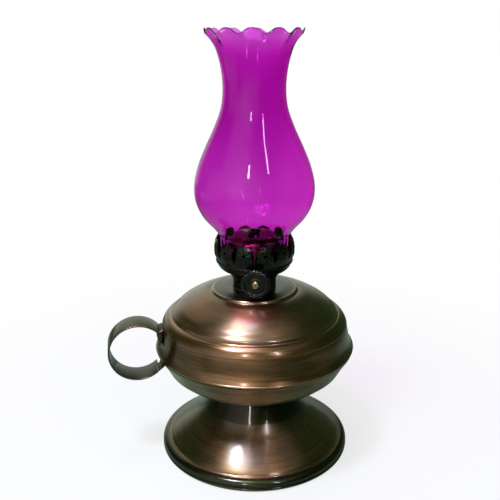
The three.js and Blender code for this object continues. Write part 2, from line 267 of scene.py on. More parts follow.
def blackened(name, coat=0.4, coat_index=1.5):
    """Stamped steel under a thin black finish, with brown and green casts where it is scuffed through."""
    n = Nodes(name)
    n.set(Metallic=0.9, Coat_Weight=coat, Coat_Roughness=0.07, Coat_IOR=coat_index)
    patches = n.noise(n.coords, 130, 4, 0.6)
    grain = n.noise(n.coords, 1500, 3, 0.6)
    cast = n.noise(n.coords, 75, 2, 0.5)
    tint = n.blend(n.remap(cast, 0.40, 0.60), (0.003, 0.013, 0.012), (0.013, 0.006, 0.014))
    base = n.blend(n.remap(patches, 0.35, 0.65), tint, (0.018, 0.020, 0.010))
    spots = n.remap(n.noise(n.coords, 300, 3, 0.7), 0.58, 0.76, 0.0, 0.8)
    base = n.blend(spots, base, (0.060, 0.050, 0.022))
    roughness = n.maths("ADD", n.remap(patches, 0.3, 0.7, 0.22, 0.36), n.remap(grain, 0.3, 0.8, 0.0, 0.10))
    return n.finish(base, roughness, n.bump(grain, 0.00004, 0.6))


def plain_metal(name, light, dark, rough, grain=1200):
    n = Nodes(name)
    n.set(Metallic=1.0)
    patches = n.noise(n.coords, 160, 3, 0.6)
    marks = n.noise(n.scaled(n.coords, (1, 1, 0.15)), grain, 3, 0.6)
    base = n.blend(n.remap(patches, 0.35, 0.68), dark, light)
    roughness = n.remap(marks, 0.3, 0.75, rough - 0.07, rough + 0.09)
    return n.finish(base, roughness, n.bump(marks, 0.00003, 0.5))


def magenta_glass(name):
    """Magenta glass coloured through its thickness, a little uneven from the blowing.

    Light reaches the metal straight through it, and the metal mirrors what is beyond it.
    """
    n = Nodes(name)
    n.set(Roughness=0.0, IOR=1.42, Transmission_Weight=1.0)
    waves = n.noise(n.scaled(n.coords, (1, 1, 0.35)), 45, 2, 0.5)
    drift = n.noise(n.scaled(n.coords, (1, 1, 0.4)), 16, 2, 0.5)
    colour = n.blend(n.remap(drift, 0.3, 0.7), (0.72, 0.42, 0.74), (1.0, 0.95, 1.0))
    n.finish(colour, None, n.bump(waves, 0.0006, 0.35))
    path = n.new("LightPath")
    clear = n.new("BsdfTransparent")
    clear.inputs["Color"].default_value = (1, 1, 1, 1)
    mix = n.new("MixShader")
    mirrored = n.maths("GREATER_THAN", path.outputs["Glossy Depth"], 0.5)
    outside = n.maths("LESS_THAN", path.outputs["Transmission Depth"], 0.5)
    from_metal = n.maths("MULTIPLY", mirrored, outside)
    n.put(n.maths("MAXIMUM", path.outputs["Is Shadow Ray"], from_metal), mix.inputs[0])
    n.put(n.shader.outputs[0], mix.inputs[1])
    n.put(clear.outputs[0], mix.inputs[2])
    n.put(mix.outputs[0], n.output.inputs["Surface"])
    absorb = n.new("VolumeAbsorption")
    absorb.inputs["Color"].default_value = (0.92, 0.05, 0.885, 1)
    absorb.inputs["Density"].default_value = 1220
    n.put(absorb.outputs[0], n.output.inputs["Volume"])
    return n.material


def woven_cotton(name):
    """Flat woven wick: plaited rows across, cords along, scorched and oily at the top."""
    n = Nodes(name)
    n.set(Metallic=0.0, Sheen_Weight=0.25)
    turned = n.new("VectorRotate")
    turned.rotation_type = "Z_AXIS"
    turned.inputs["Angle"].default_value = -WORKS_TURN
    n.put(n.coords, turned.inputs["Vector"])
    x, y, z = n.split(turned.outputs[0])
    cord = n.maths("SINE", n.maths("MULTIPLY", y, TAU / 0.0013))
    rows = n.maths("MULTIPLY", z, TAU / 0.0011)
    pick = n.maths("SINE", n.maths("ADD", rows, n.maths("MULTIPLY", cord, 1.2)))
    weave = n.maths("ADD", n.maths("MULTIPLY", cord, 0.5), n.maths("MULTIPLY", pick, 0.5))
    fluff = n.noise(n.coords, 2600, 4, 0.7)
    base = n.blend(n.remap(weave, -0.8, 0.8), (0.46, 0.40, 0.30), (0.78, 0.73, 0.62))
    base = n.blend(n.remap(fluff, 0.3, 0.8, 0.0, 0.35), base, (0.86, 0.82, 0.74))
    ragged = n.maths("MULTIPLY", n.noise(n.coords, 500, 2, 0.5), 0.002)
    scorched = n.remap(n.maths("ADD", z, ragged), 0.1480, 0.1502)
    base = n.blend(scorched, base, (0.035, 0.028, 0.022))
    height = n.maths("ADD", weave, n.maths("MULTIPLY", fluff, 0.6))
    return n.finish(base, 0.95, n.bump(height, 0.00018, 0.8))


def pressed_cork(name):
    n = Nodes(name)
    n.set(Metallic=0.0)
    cells = n.voronoi(n.coords, 900)
    grain = n.noise(n.coords, 700, 4, 0.65)
    base = n.blend(n.remap(cells, 0.1, 0.6), (0.030, 0.020, 0.012), (0.105, 0.066, 0.038))
    base = n.blend(n.remap(grain, 0.55, 0.75, 0.0, 0.7), base, (0.012, 0.009, 0.006))
    return n.finish(base, 0.9, n.bump(cells, 0.0001, 0.6))


def short_felt(name):
    n = Nodes(name)
    n.set(Metallic=0.0, Sheen_Weight=0.4)
    fibres = n.noise(n.scaled(n.coords, (1.0, 0.35, 1.0)), 1800, 5, 0.75)
    crossed = n.noise(n.scaled(n.coords, (0.35, 1.0, 1.0)), 1700, 5, 0.75)
    pile = n.maths("MAXIMUM", fibres, crossed)
    base = n.blend(n.remap(pile, 0.4, 0.8), (0.010, 0.030, 0.018), (0.050, 0.105, 0.065))
    return n.finish(base, 0.97, n.bump(pile, 0.0002, 0.8))


# Painted shade under the font: between these heights the foot's plate is painted near black.
NECK_PAINTED_SHADE = (22.0, 34.0)
# The first list in each call gives the pale bands: partly edge wear, partly painted highlight lines.
COPPER_FOOT = copper("copper_foot", [(7.75, 0.45)], NECK_PAINTED_SHADE, (0.26, 0.118, 0.046), (0.145, 0.083, 0.028),
                     lacquer=(0.17, 1.8))
# The rim band's plate is drawn far darker and greener than the rest of the foot.
DARK_RIM_COPPER = copper("copper_dark_rim", [(1.2, 0.5)], (), (0.040, 0.044, 0.016), (0.014, 0.018, 0.007),
                marks=0.8, lacquer=(0.09, 1.5))
COPPER_NECK = copper("copper_neck", [(44.8, 0.3)], NECK_PAINTED_SHADE, (0.24, 0.110, 0.042), (0.13, 0.076, 0.026),
                     lacquer=(0.045, 1.36))
COPPER_LOWER = copper("copper_font_lower", [(59.6, 0.5)])
COPPER_BAND = copper("copper_font_band", [(74.6, 0.7), (91.3, 0.45), (97.0, 0.5), (99.2, 0.4)],
                     marks=1.2, lacquer=(0.14, 1.68))
COPPER_DOME = copper("copper_font_dome", [(114.2, 0.6), (97.0, 0.5), (99.2, 0.4)],
                     marks=0.45, lacquer=(0.21, 1.82))
COPPER_DECK = copper("copper_font_deck", [(114.2, 0.4)], (), (0.080, 0.062, 0.034), (0.040, 0.040, 0.020),
                     marks=0.4, lacquer=(0.16, 1.6))
COPPER_STRIP = strip_copper("copper_strip", (0.105, 0.078, 0.050), (0.230, 0.120, 0.076))
# Painted shade: a darker copy of the strip finish, for the faces on the ring's inside.
STRIP_PAINTED_SHADE = strip_copper("copper_strip_painted_shade", (0.022, 0.030, 0.018), (0.060, 0.056, 0.038))
BLACK = blackened("blackened_steel")
KNOB_BLACK = blackened("blackened_knob", 0.6, 1.55)
HOT_BLACK = plain_metal("heat_browned_steel", (0.300, 0.120, 0.080), (0.080, 0.034, 0.024), 0.15, grain=350)
BRASS = plain_metal("brass", (0.66, 0.44, 0.19), (0.40, 0.25, 0.10), 0.30)
PIN_BRASS = plain_metal("pin_brass", (0.72, 0.52, 0.33), (0.50, 0.32, 0.18), 0.24)
STEEL = plain_metal("steel", (0.55, 0.54, 0.52), (0.33, 0.32, 0.31), 0.35)
SOLDER = plain_metal("solder", (0.16, 0.15, 0.12), (0.07, 0.07, 0.05), 0.42, grain=700)
# Painted highlight: near-white metal for the strip's cut end, so it shows as a bright line.
CUT_END_PAINTED_HIGHLIGHT = plain_metal("cut_end_painted_highlight", (0.96, 0.95, 0.93), (0.86, 0.84, 0.81), 0.6)
GLASS = magenta_glass("magenta_glass")
COTTON = woven_cotton("woven_cotton")
CORK = pressed_cork("pressed_cork")
FELT = short_felt("short_felt")


# ------------------------------------------------------------------ mesh helpers
def smooth_run(points, steps=10):
    """A Catmull-Rom curve through the points, as a list of points."""
    pts = np.array(points, float)
    pts = np.vstack([2 * pts[0] - pts[1], pts, 2 * pts[-1] - pts[-2]])
    run = []
    for i in range(1, len(pts) - 2):
        a, b, c, d = pts[i - 1 : i + 3]
        for t in np.arange(steps) / steps:
            bend = (2 * a - 5 * b + 4 * c - d) * t**2 + (3 * b - a - 3 * c + d) * t**3
            run.append(0.5 * (2 * b + (c - a) * t + bend))
    run.append(pts[-2])
    return [tuple(p) for p in run]


def arc(centre, radius, start, stop, steps=12):
    angles = np.radians(np.linspace(start, stop, steps + 1))
    return [(centre[0] + radius * math.cos(a), centre[1] + radius * math.sin(a)) for a in angles]


def shade(obj, angle=38):
    """Smooth faces, with a hard edge wherever two meet more sharply than the angle."""
    mesh = bmesh.new()
    mesh.from_mesh(obj.data)
    bmesh.ops.recalc_face_normals(mesh, faces=mesh.faces)
    for face in mesh.faces:
        face.smooth = True
    for edge in mesh.edges:
        edge.smooth = len(edge.link_faces) == 2 and edge.calc_face_angle(0) < math.radians(angle)
    mesh.to_mesh(obj.data)
    mesh.free()
    return obj


def make_object(name, vertices, faces, material, angle=38):
    mesh = bpy.data.meshes.new(name)
    mesh.from_pydata([tuple(v) for v in vertices], [], [tuple(f) for f in faces])
    mesh.materials.append(material)
    obj = bpy.data.objects.new(name, mesh)
    scene.collection.objects.link(obj)
    return shade(obj, angle)


def revolve(name, line, material, turns=192, warp=None, angle=38, matrix=None):
    """A closed outline of (radius, height) points in millimetres, turned about Z.

    warp(radius, height, angle) may move the points of each ring. Points on the axis become poles.
    """
    line = [p for i, p in enumerate(line) if math.dist(p, line[i - 1]) > 1e-5]
    around = np.arange(turns) * TAU / turns
    vertices, rings = [], []
    for radius, height in line:
        if radius < 1e-6:
            rings.append([len(vertices)])
            vertices.append((0, 0, height * MM))
            continue
        radii, heights = np.full(turns, float(radius)), np.full(turns, float(height))
        if warp is not None:
            radii, heights = warp(radii, heights, around)
        rings.append(list(range(len(vertices), len(vertices) + turns)))
        vertices += list(zip(radii * np.cos(around) * MM, radii * np.sin(around) * MM, heights * MM))
    faces = []
    for lower, upper in zip(rings, rings[1:] + rings[:1]):
        for i in range(turns):
            j = (i + 1) % turns
            if len(lower) == 1 and len(upper) == 1:
                break
            if len(lower) == 1:
                faces.append((lower[0], upper[j], upper[i]))
            elif len(upper) == 1:
                faces.append((lower[i], lower[j], upper[0]))
            else:
                faces.append((lower[i], lower[j], upper[j], upper[i]))
    obj = make_object(name, vertices, faces, material, angle)
    if matrix is not None:
        obj.data.transform(matrix)
        obj.data.update()
    return obj


def prism(name, outline, depth, material, matrix, bevel=0.0, angle=30):
    """A flat outline of (across, up) millimetres, depth thick along Y and centred on it."""
    count = len(outline)
    vertices = [(x * MM, side * depth * MM / 2, z * MM) for side in (-1, 1) for x, z in outline]
    faces = [tuple(range(count)), tuple(range(2 * count - 1, count - 1, -1))]
    faces += [(i, i + count, (i + 1) % count + count, (i + 1) % count) for i in range(count)]
    obj = make_object(name, vertices, faces, material, angle)
    if bevel:
        add_bevel(obj, bevel)
    obj.data.transform(matrix)
    return obj


def apply_modifiers(obj):
    depsgraph = bpy.context.evaluated_depsgraph_get()
    depsgraph.update()
    mesh = bpy.data.meshes.new_from_object(obj.evaluated_get(depsgraph))
    obj.modifiers.clear()
    obj.data = mesh


def add_bevel(obj, width, segments=2, angle=30):
    bevel = obj.modifiers.new("bevel", "BEVEL")
    bevel.width = width * MM
    bevel.segments = segments
    bevel.limit_method = "ANGLE"
    bevel.angle_limit = math.radians(angle)
    bevel.use_clamp_overlap = True
    apply_modifiers(obj)
    return shade(obj, 50)


def cut(obj, *cutters):
    for cutter in cutters:
        boolean = obj.modifiers.new("cut", "BOOLEAN")
        boolean.operation = "DIFFERENCE"
        boolean.solver = "EXACT"
        boolean.object = cutter
        apply_modifiers(obj)
        bpy.data.objects.remove(cutter)
    return shade(obj)


def box_mesh(name, size, centre, material, matrix=None):
    sx, sy, sz = (s * MM / 2 for s in size)
    vertices = [(centre[0] * MM + x * sx, centre[1] * MM + y * sy, centre[2] * MM + z * sz)
                for x in (-1, 1) for y in (-1, 1) for z in (-1, 1)]
    faces = [(0, 1, 3, 2), (4, 6, 7, 5), (0, 4, 5, 1), (2, 3, 7, 6), (0, 2, 6, 4), (1, 5, 7, 3)]
    obj = make_object(name, vertices, faces, material)
    if matrix is not None:
        obj.data.transform(matrix)
    return obj


def peg(radius, low, high, matrix, turns=16):
    """A plain round cutter from low to high."""
    outline = [(0, low), (radius, low), (radius, high), (0, high)]
    return revolve("cutter", outline, BLACK, turns, matrix=matrix)


def spaced(i, count, radius):
    """The place of the i-th of count things evenly spaced round the axis."""
    return Matrix.Rotation((i + 0.5) * TAU / count, 4, "Z") @ Matrix.Translation((radius * MM, 0, 0))


def stand_in(obj, node, body):
    """The piece stands for a CAD node and moves with its body."""
    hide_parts(node)
    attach(obj, body)
    return obj


TURNED = Matrix.Rotation(WORKS_TURN, 4, "Z")
ON_VENT = TURNED @ Matrix.Translation((VENT_X * MM, 0, 0))
TUBE_HOLE = (4.8, 14.4, 8)


def on_spindle(along):
    """From the Z axis to the spindle's own line, with +Z pointing out to the front."""
    place = Matrix.Translation((SPINDLE_X * MM, along * MM, SPINDLE_Z * MM))
    return TURNED @ place @ Matrix.Rotation(math.radians(90), 4, "X")


# ------------------------------------------------------------------ foot
DARK_RIM_TOP, NECK_START = 7.3, 30.0


def build_foot():
    bead = arc((63.5, 1.45), 1.1, -100, 95, 12)
    band = smooth_run([(63.5, 2.55), (64.4, 3.1), (64.5, 4.1), (63.9, 5.5), (62.6, 6.7), (60.9, 7.35),
                       (60.0, 7.35)], 5)
    crease = smooth_run([(60.0, 7.35), (59.75, 7.75), (59.2, 7.95)], 4)
    flare = smooth_run([(59.2, 7.95), (58.2, 9.1), (54.5, 12.2), (49.7, 16.0), (44.4, 20.2), (38.9, 24.9),
                        (34.6, 29.8), (31.7, 34.2), (29.3, 38.2), (27.4, 41.6), (26.8, 44.6)], 7)
    inner = [(14.0, 44.6), (14.0, 43.8)]
    inner += smooth_run([(26.1, 43.8), (26.7, 41.4), (30.0, 34.0), (33.2, 29.4), (43.4, 19.2), (53.6, 11.2),
                         (58.9, 6.8), (62.6, 4.4), (62.9, 2.0)], 4)
    foot = revolve("foot_spun", bead + band[1:] + crease[1:] + flare[1:] + inner, COPPER_FOOT, 256)
    foot.data.materials.append(DARK_RIM_COPPER)
    foot.data.materials.append(COPPER_NECK)
    for face in foot.data.polygons:
        height = face.center.z / MM
        face.material_index = 1 if height < DARK_RIM_TOP else 2 if height > NECK_START else 0
    stand_in(foot, "foot", "lamp_body")
    below = [(0, 1.9)] + smooth_run([(52, 1.9), (54, 2.1), (56, 1.75), (61.2, 1.75)], 4)
    above = [(61.4, 2.1), (61.2, 2.5)] + smooth_run([(56, 2.5), (54, 2.75), (52, 2.6)], 4) + [(0, 2.6)]
    plate = revolve("base_plate_pressed", below + above, STEEL, 128)
    stand_in(plate, "base_plate", "lamp_body")
    felt_edge = arc((59.9, 0.6), 0.6, -90, 0, 4) + arc((59.9, 0.8), 0.6, 0, 90, 4)
    felt = revolve("felt_disc", [(0, 0)] + felt_edge + [(0, 1.4)], FELT, 128)
    stand_in(felt, "felt_pad", "lamp_body")
    fillet = smooth_run([(27.1, 45.1), (27.2, 44.1), (27.6, 43.5), (28.5, 44.4), (29.3, 45.2)], 4)
    solder = revolve("neck_solder_bead", fillet, SOLDER, 128)
    stand_in(solder, "neck_solder", "lamp_body")


# ------------------------------------------------------------------ font
def build_font():
    bottom = [(0, 44.9)] + smooth_run([(21.5, 44.9), (30.0, 45.9), (40.0, 48.4), (48.6, 52.3), (53.0, 55.0),
                                       (56.2, 57.6), (57.3, 58.7)], 7)
    groove = smooth_run([(57.3, 58.7), (57.5, 59.3), (58.4, 59.5), (58.9, 60.2)], 5)
    bulge = smooth_run([(58.9, 60.2), (60.2, 62.6), (62.2, 66.2), (64.2, 69.4), (65.6, 71.6), (66.3, 72.6),
                        (66.4, 73.3)], 6)
    inside = smooth_run([(65.6, 73.3), (63.6, 70.6), (61.2, 67.0), (58.6, 62.6), (54.6, 58.0), (48.0, 53.3),
                         (39.6, 49.5), (30.0, 47.0), (21.3, 45.9)], 4) + [(0, 45.9)]
    lower = revolve("font_lower_spun", bottom + groove[1:] + bulge[1:] + inside, COPPER_LOWER, 256)
    stand_in(lower, "font_lower", "lamp_body")

    lip = arc((66.25, 74.6), 0.75, -100, 80, 12)
    band = smooth_run([(66.3, 75.35), (65.9, 76.1), (65.0, 77.8), (64.1, 80.2), (63.3, 84.0), (62.55, 88.0),
                       (61.8, 90.9)], 7)
    edge = smooth_run([(61.8, 90.9), (62.1, 91.2), (61.9, 91.8)], 4)
    ridge = smooth_run([(61.9, 91.8), (61.2, 93.2), (60.1, 94.8), (58.6, 96.1), (57.1, 96.85),
                        (56.2, 97.0)], 6)
    step = smooth_run([(56.2, 97.0), (55.75, 97.15), (55.45, 97.7), (55.25, 98.5), (54.95, 99.1),
                       (54.4, 99.75)], 5)
    dome = smooth_run([(54.4, 99.75), (53.3, 100.8), (49.9, 104.0), (43.3, 108.1), (35.7, 111.6),
                       (32.2, 112.6), (30.2, 112.85)], 9)
    moat = smooth_run([(30.2, 112.85), (29.4, 112.85), (28.9, 113.05), (28.5, 113.7), (28.0, 114.3),
                       (27.3, 114.5), (26.8, 114.5)], 5)
    deck = smooth_run([(26.8, 114.5), (24.0, 114.8), (20.0, 115.2), (14.4, 115.3)], 4)
    under = smooth_run([(27.6, 112.6), (34.9, 110.6), (42.6, 107.1), (49.0, 103.1), (53.2, 98.6),
                        (57.4, 95.4), (60.2, 92.0), (61.2, 87.6), (62.4, 81.6), (64.4, 76.4), (65.4, 73.9)], 4)
    outline = list(lip)
    for run in (band, edge, ridge, step, dome, moat, deck):
        outline += run[1:]
    outline += [(14.4, 114.2), (20.0, 114.1)] + under
    upper = revolve("font_upper_spun", outline, COPPER_BAND, 256)
    upper.data.materials.append(COPPER_DOME)
    upper.data.materials.append(COPPER_DECK)
    for face in upper.data.polygons:
        on_deck = face.center.z > 114.45 * MM and face.center.xy.length < 26.9 * MM
        face.material_index = 2 if on_deck else int(face.center.z > 97.2 * MM)
    stand_in(upper, "font_upper", "lamp_body")

    def internal_thread(radius, height, around):
        wave = np.abs(((height - around / TAU * 2.0) / 2.0) % 1.0 * 2 - 1)
        groove_depth = np.where(radius < 11.9, 0.5 * (1 - wave), 0.0)
        return radius + groove_depth, height

    bore = [(11.8, 108.0 + 0.25 * i) for i in range(28)]
    flange = [(12.0, 107.9), (13.2, 108.0), (13.2, 112.6), (16.4, 112.6), (16.4, 113.9), (14.1, 113.9),
              (14.1, 115.2), (13.9, 115.3), (12.2, 115.3)]
    collar = revolve("font_collar_threaded", flange + bore[::-1], BRASS, 96, warp=internal_thread, angle=50)
    stand_in(collar, "font_collar", "lamp_body")


# ------------------------------------------------------------------ finger ring
RING_CENTRE, RING_RADIUS = (79.2, 76.7), 18.95


def ring_point(degrees):
    angle = math.radians(degrees)
    return (RING_CENTRE[0] - RING_RADIUS * math.cos(angle), RING_CENTRE[1] + RING_RADIUS * math.sin(angle))


def sweep_strip(name, path, width, thick, material, matrix):
    """A strip with rounded edges, following a path of (across, up) points."""
    points = [np.array(p, float) for p in path]
    edge = thick * 0.45
    section = []
    for side, up, start in ((1, 1, 90), (1, -1, 0), (-1, -1, -90), (-1, 1, -180)):
        for t in range(5):
            a = math.radians(start - 22.5 * t)
            section.append((side * (width / 2 - edge) + edge * math.cos(a),
                            up * (thick / 2 - edge) + edge * math.sin(a)))
    vertices = []
    for i, point in enumerate(points):
        before, after = points[max(i - 1, 0)], points[min(i + 1, len(points) - 1)]
        along = (after - before) / np.linalg.norm(after - before)
        out = np.array([-along[1], along[0]])
        for across, raised in section:
            spot = point + out * raised
            vertices.append((spot[0] * MM, -across * MM, spot[1] * MM))
    count = len(section)
    faces = []
    for i in range(len(points) - 1):
        for j in range(count):
            k = (j + 1) % count
            faces.append((i * count + j, i * count + k, (i + 1) * count + k, (i + 1) * count + j))
    faces.append(tuple(range(count)))
    faces.append(tuple(range(len(vertices) - 1, len(vertices) - 1 - count, -1)))
    obj = make_object(name, vertices, faces, material, 40)
    obj.data.transform(matrix)
    return obj


def build_ring():
    turned = Matrix.Rotation(RING_AZIMUTH, 4, "Z")
    tab = smooth_run([(65.0, 80.6), (64.5, 82.6), (64.05, 84.6), (63.65, 86.2), ring_point(35),
                      ring_point(40)], 5)
    loop = [ring_point(40 + (312 - 40) * i / 96) for i in range(1, 97)]
    ring = sweep_strip("handle_ring_strip", tab + loop, 17.6, 1.1, COPPER_STRIP, turned)
    ring.data.materials.append(SOLDER)
    ring.data.materials.append(CUT_END_PAINTED_HIGHLIGHT)
    ring.data.materials.append(STRIP_PAINTED_SHADE)
    # The bent flange's faces are drawn dark, in the solder finish.
    flange_faces = 20 * (len(tab) - 6)
    for i, face in enumerate(ring.data.polygons):
        spot = turned.inverted() @ face.center / MM
        # Faces on the ring's inside take the darker copy of the strip finish, as painted shade.
        inside = math.dist((spot.x, spot.z), RING_CENTRE) < RING_RADIUS - 0.2
        face.material_index = 1 if i < flange_faces else 3 * inside
    # The strip's cut end is drawn near white, a painted highlight.
    ring.data.polygons[-1].material_index = 2
    stand_in(ring, "handle_ring", "lamp_body")
    tail = smooth_run([(69.6, 58.4), (67.2, 60.3), (64.6, 62.4), (62.2, 64.3)], 5)
    lower_tab = sweep_strip("handle_tab_strip", tail, 11, 0.9, COPPER_STRIP, turned)
    stand_in(lower_tab, "handle_tab", "lamp_body")
    upper = [(61.9, 91.0), (62.9, 85.6), (64.6, 83.4), (65.9, 84.6), (66.6, 87.2), (65.6, 89.4), (63.6, 90.5)]
    lower = [(61.9, 66.0), (64.2, 63.4), (64.9, 63.6), (64.3, 65.0), (63.9, 66.6), (64.3, 68.6)]
    for name, outline, length in (("upper", upper, 13), ("lower", lower, 9)):
        blob = prism(f"solder_fillet_{name}", outline, length, SOLDER, Matrix.Identity(4))
        add_bevel(blob, 0.6, 3, 20)
        blob.data.transform(turned)
        stand_in(blob, f"handle_solder_{name}", "lamp_body")


# ------------------------------------------------------------------ burner shell
def build_burner_shell():
    outer = smooth_run([(14.3, 116.3), (14.3, 118.6), (14.35, 120.8), (15.1, 122.9), (16.2, 124.7),
                        (16.7, 125.8)], 5)
    bowl = smooth_run([(16.7, 125.8), (17.2, 126.5), (18.9, 127.2), (21.5, 128.5), (23.5, 130.5),
                       (24.4, 132.7)], 6)
    inside = smooth_run([(23.6, 132.7), (22.8, 130.9), (20.9, 129.2), (18.4, 128.0), (16.2, 127.0),
                         (15.3, 125.0), (13.6, 121.0), (13.5, 116.3)], 4)
    body = revolve("burner_neck_and_bowl", outer + bowl[1:] + inside, BLACK, 144)
    intakes = [peg(1.3, 124, 131, spaced(i, 12, 20.3)) for i in range(12)]
    cut(body, *intakes, peg(2.7, -3, 8, on_spindle(-13), 24))
    stand_in(body, "burner_body", "burner")

    section = arc((14.1, 115.8), 0.3, -90, 90, 6) + arc((12.2, 115.8), 0.3, 90, 270, 6)
    washer = revolve("seal_washer_cork", section, CORK, 96)
    stand_in(washer, "seal_washer", "seal")

    def external_thread(radius, height, around):
        wave = np.abs(((height - around / TAU * 2.0) / 2.0) % 1.0 * 2 - 1)
        fade = np.clip((height - 107.0) / 1.2, 0, 1) * np.clip((115.6 - height) / 0.8, 0, 1)
        depth = np.where(radius > 11.4, 0.55 * (1 - wave) * fade, 0.0)
        return radius - np.where(radius < 11.6, depth, 0.0), height

    skirt = [(11.5, 107.1 + 0.2 * i) for i in range(46)]
    lid = [(11.6, 116.3), (13.2, 116.3), (13.2, 117.1), (0, 117.1), (0, 116.2), (10.5, 116.2)]
    base = revolve("burner_base_threaded", [(10.5, 107.0), (11.3, 107.0)] + skirt + lid, BRASS, 96,
                   warp=external_thread, angle=50)
    cut(base, box_mesh("cutter", TUBE_HOLE, (0, 0, 117), BRASS, TURNED), peg(1.8, 112, 120, ON_VENT, 20))
    stand_in(base, "burner_base", "burner")


def build_gallery():
    """Twelve arched petals round a plain band, each with a pierced eye, rays and a small chevron."""
    petals, bottom, split, top, eye_height = 12, 133.0, 137.6, 149.3, 143.6
    columns, low_rows, high_rows = 28, 12, 34
    half_pitch = 180 / petals

    def wall_radius(z):
        heights = [133.0, 133.5, 134.1, 134.7, 136.6, 139.5, 143.0, 146.6, 149.8]
        radii = [24.75, 25.35, 25.35, 25.0, 25.45, 26.05, 26.2, 25.8, 24.5]
        return np.interp(z, heights, radii)

    def gap_half_width(z):
        return np.interp(z, [137.6, 138.6, 140.4, 143.2, 145.6, 147.4], [0.0, 0.55, 1.15, 1.75, 1.95, 2.0])

    def emboss(s, z):
        eye = np.hypot(s, z - eye_height)
        reach = np.clip((eye - 1.3) / 0.5, 0, 1) * np.clip((4.6 - eye) / 1.2, 0, 1)
        ray = np.cos(4 * np.arctan2(z - eye_height, s)) ** 2 * reach
        rim = np.exp(-((eye - 1.35) / 0.35) ** 2)
        chevron = np.exp(-(((z - 140.6) + np.abs(s) * 1.05) / 0.42) ** 2)
        chevron *= np.clip((3.4 - np.abs(s)) / 0.6, 0, 1)
        return 0.30 * ray + 0.22 * rim + 0.30 * chevron

    vertices, faces, keep = [], [], {}

    def vertex(s_angle, z, relief):
        radius = wall_radius(z) + relief
        angle = math.radians(s_angle)
        vertices.append((radius * math.cos(angle) * MM, radius * math.sin(angle) * MM, z * MM))
        return len(vertices) - 1

    for petal in range(petals):
        centre = -90 + half_pitch + petal * 2 * half_pitch
        grid = []
        for row in range(low_rows + high_rows + 1):
            line = []
            for column in range(columns + 1):
                u = 2 * column / columns - 1
                if row <= low_rows:
                    z = bottom + (split - bottom) * row / low_rows
                    half = math.radians(half_pitch) * wall_radius(z)
                else:
                    v = (row - low_rows) / high_rows
                    crown = top - 2.6 * abs(u) ** 2.6 + 0.45 * math.exp(-((u / 0.16) ** 2))
                    z = split + (crown - split) * v
                    half = math.radians(half_pitch) * wall_radius(z) - gap_half_width(z)
                s = u * half
                belly = 0.25 * (1 - u * u) * min(max((z - 136) / 4, 0), 1)
                relief = float(emboss(s, z)) + belly
                if row > low_rows:
                    relief += 0.16 * math.exp(-(((1 - abs(u)) * half - 0.55) / 0.35) ** 2)
                line.append((centre + math.degrees(s / wall_radius(z)), z, relief, s))
            grid.append(line)
        index = {}
        for row, line in enumerate(grid):
            for column, (angle, z, relief, s) in enumerate(line):
                shared = row <= low_rows and column in (0, columns)
                key = (row, (petal + (column == columns)) % petals) if shared else None
                if shared and key in keep:
                    index[row, column] = keep[key]
                    continue
                index[row, column] = vertex(angle, z, relief)
                if shared:
                    keep[key] = index[row, column]
        for row in range(len(grid) - 1):
            for column in range(columns):
                _, z, _, s = grid[row][column]
                _, z2, _, s2 = grid[row + 1][column + 1]
                if math.hypot((s + s2) / 2, (z + z2) / 2 - eye_height) < 0.95:
                    continue
                corners = ((row, column), (row, column + 1), (row + 1, column + 1), (row + 1, column))
                faces.append([index[corner] for corner in corners])
    gallery = make_object("gallery_petals", vertices, faces, BLACK, 60)
    solid = gallery.modifiers.new("sheet", "SOLIDIFY")
    solid.thickness = 0.6 * MM
    solid.offset = -1
    apply_modifiers(gallery)
    shade(gallery, 60)
    stand_in(gallery, "gallery", "burner")


def build_cone_and_plate():
    outer = smooth_run([(19.6, 137.7), (19.6, 139.6), (19.5, 142.4), (19.0, 145.4), (17.2, 148.3),
                        (13.0, 150.6), (6.5, 151.5), (0.01, 151.8)], 6)[:-1] + [(0, 151.8)]
    inner = [(0, 151.1)] + smooth_run([(0.01, 151.1), (6.4, 150.8), (12.7, 149.9), (16.6, 147.7),
                                       (18.3, 145.1), (18.8, 142.3), (18.9, 139.6), (18.9, 137.7)], 5)[1:]
    cone = revolve("flame_cone_dome", outer + inner, HOT_BLACK, 144)
    slot = box_mesh("slot_cutter", (7.0, 15.5, 14), (0, 0, 150), BLACK)
    add_bevel(slot, 3.0, 6)
    slot.data.transform(TURNED)
    cut(cone, slot, *[peg(0.75, 143, 149, spaced(i, 16, 16.6), 12) for i in range(16)])
    stand_in(cone, "flame_cone", "burner")

    disc = [(0, 136.6), (24.3, 136.6), (24.5, 137.0), (24.3, 137.4), (0, 137.4)]
    plate = revolve("air_plate_pierced", disc, BLACK, 96)
    holes = [box_mesh("cutter", TUBE_HOLE, (0, 0, 137), BLACK, TURNED), peg(1.8, 132, 142, ON_VENT, 20)]
    for ring_radius, count, hole in ((13.5, 18, 1.2), (17.0, 24, 0.9)):
        holes += [peg(hole, 135, 139, spaced(i, count, ring_radius), 10) for i in range(count)]
    cut(plate, *holes)
    stand_in(plate, "air_plate", "burner")


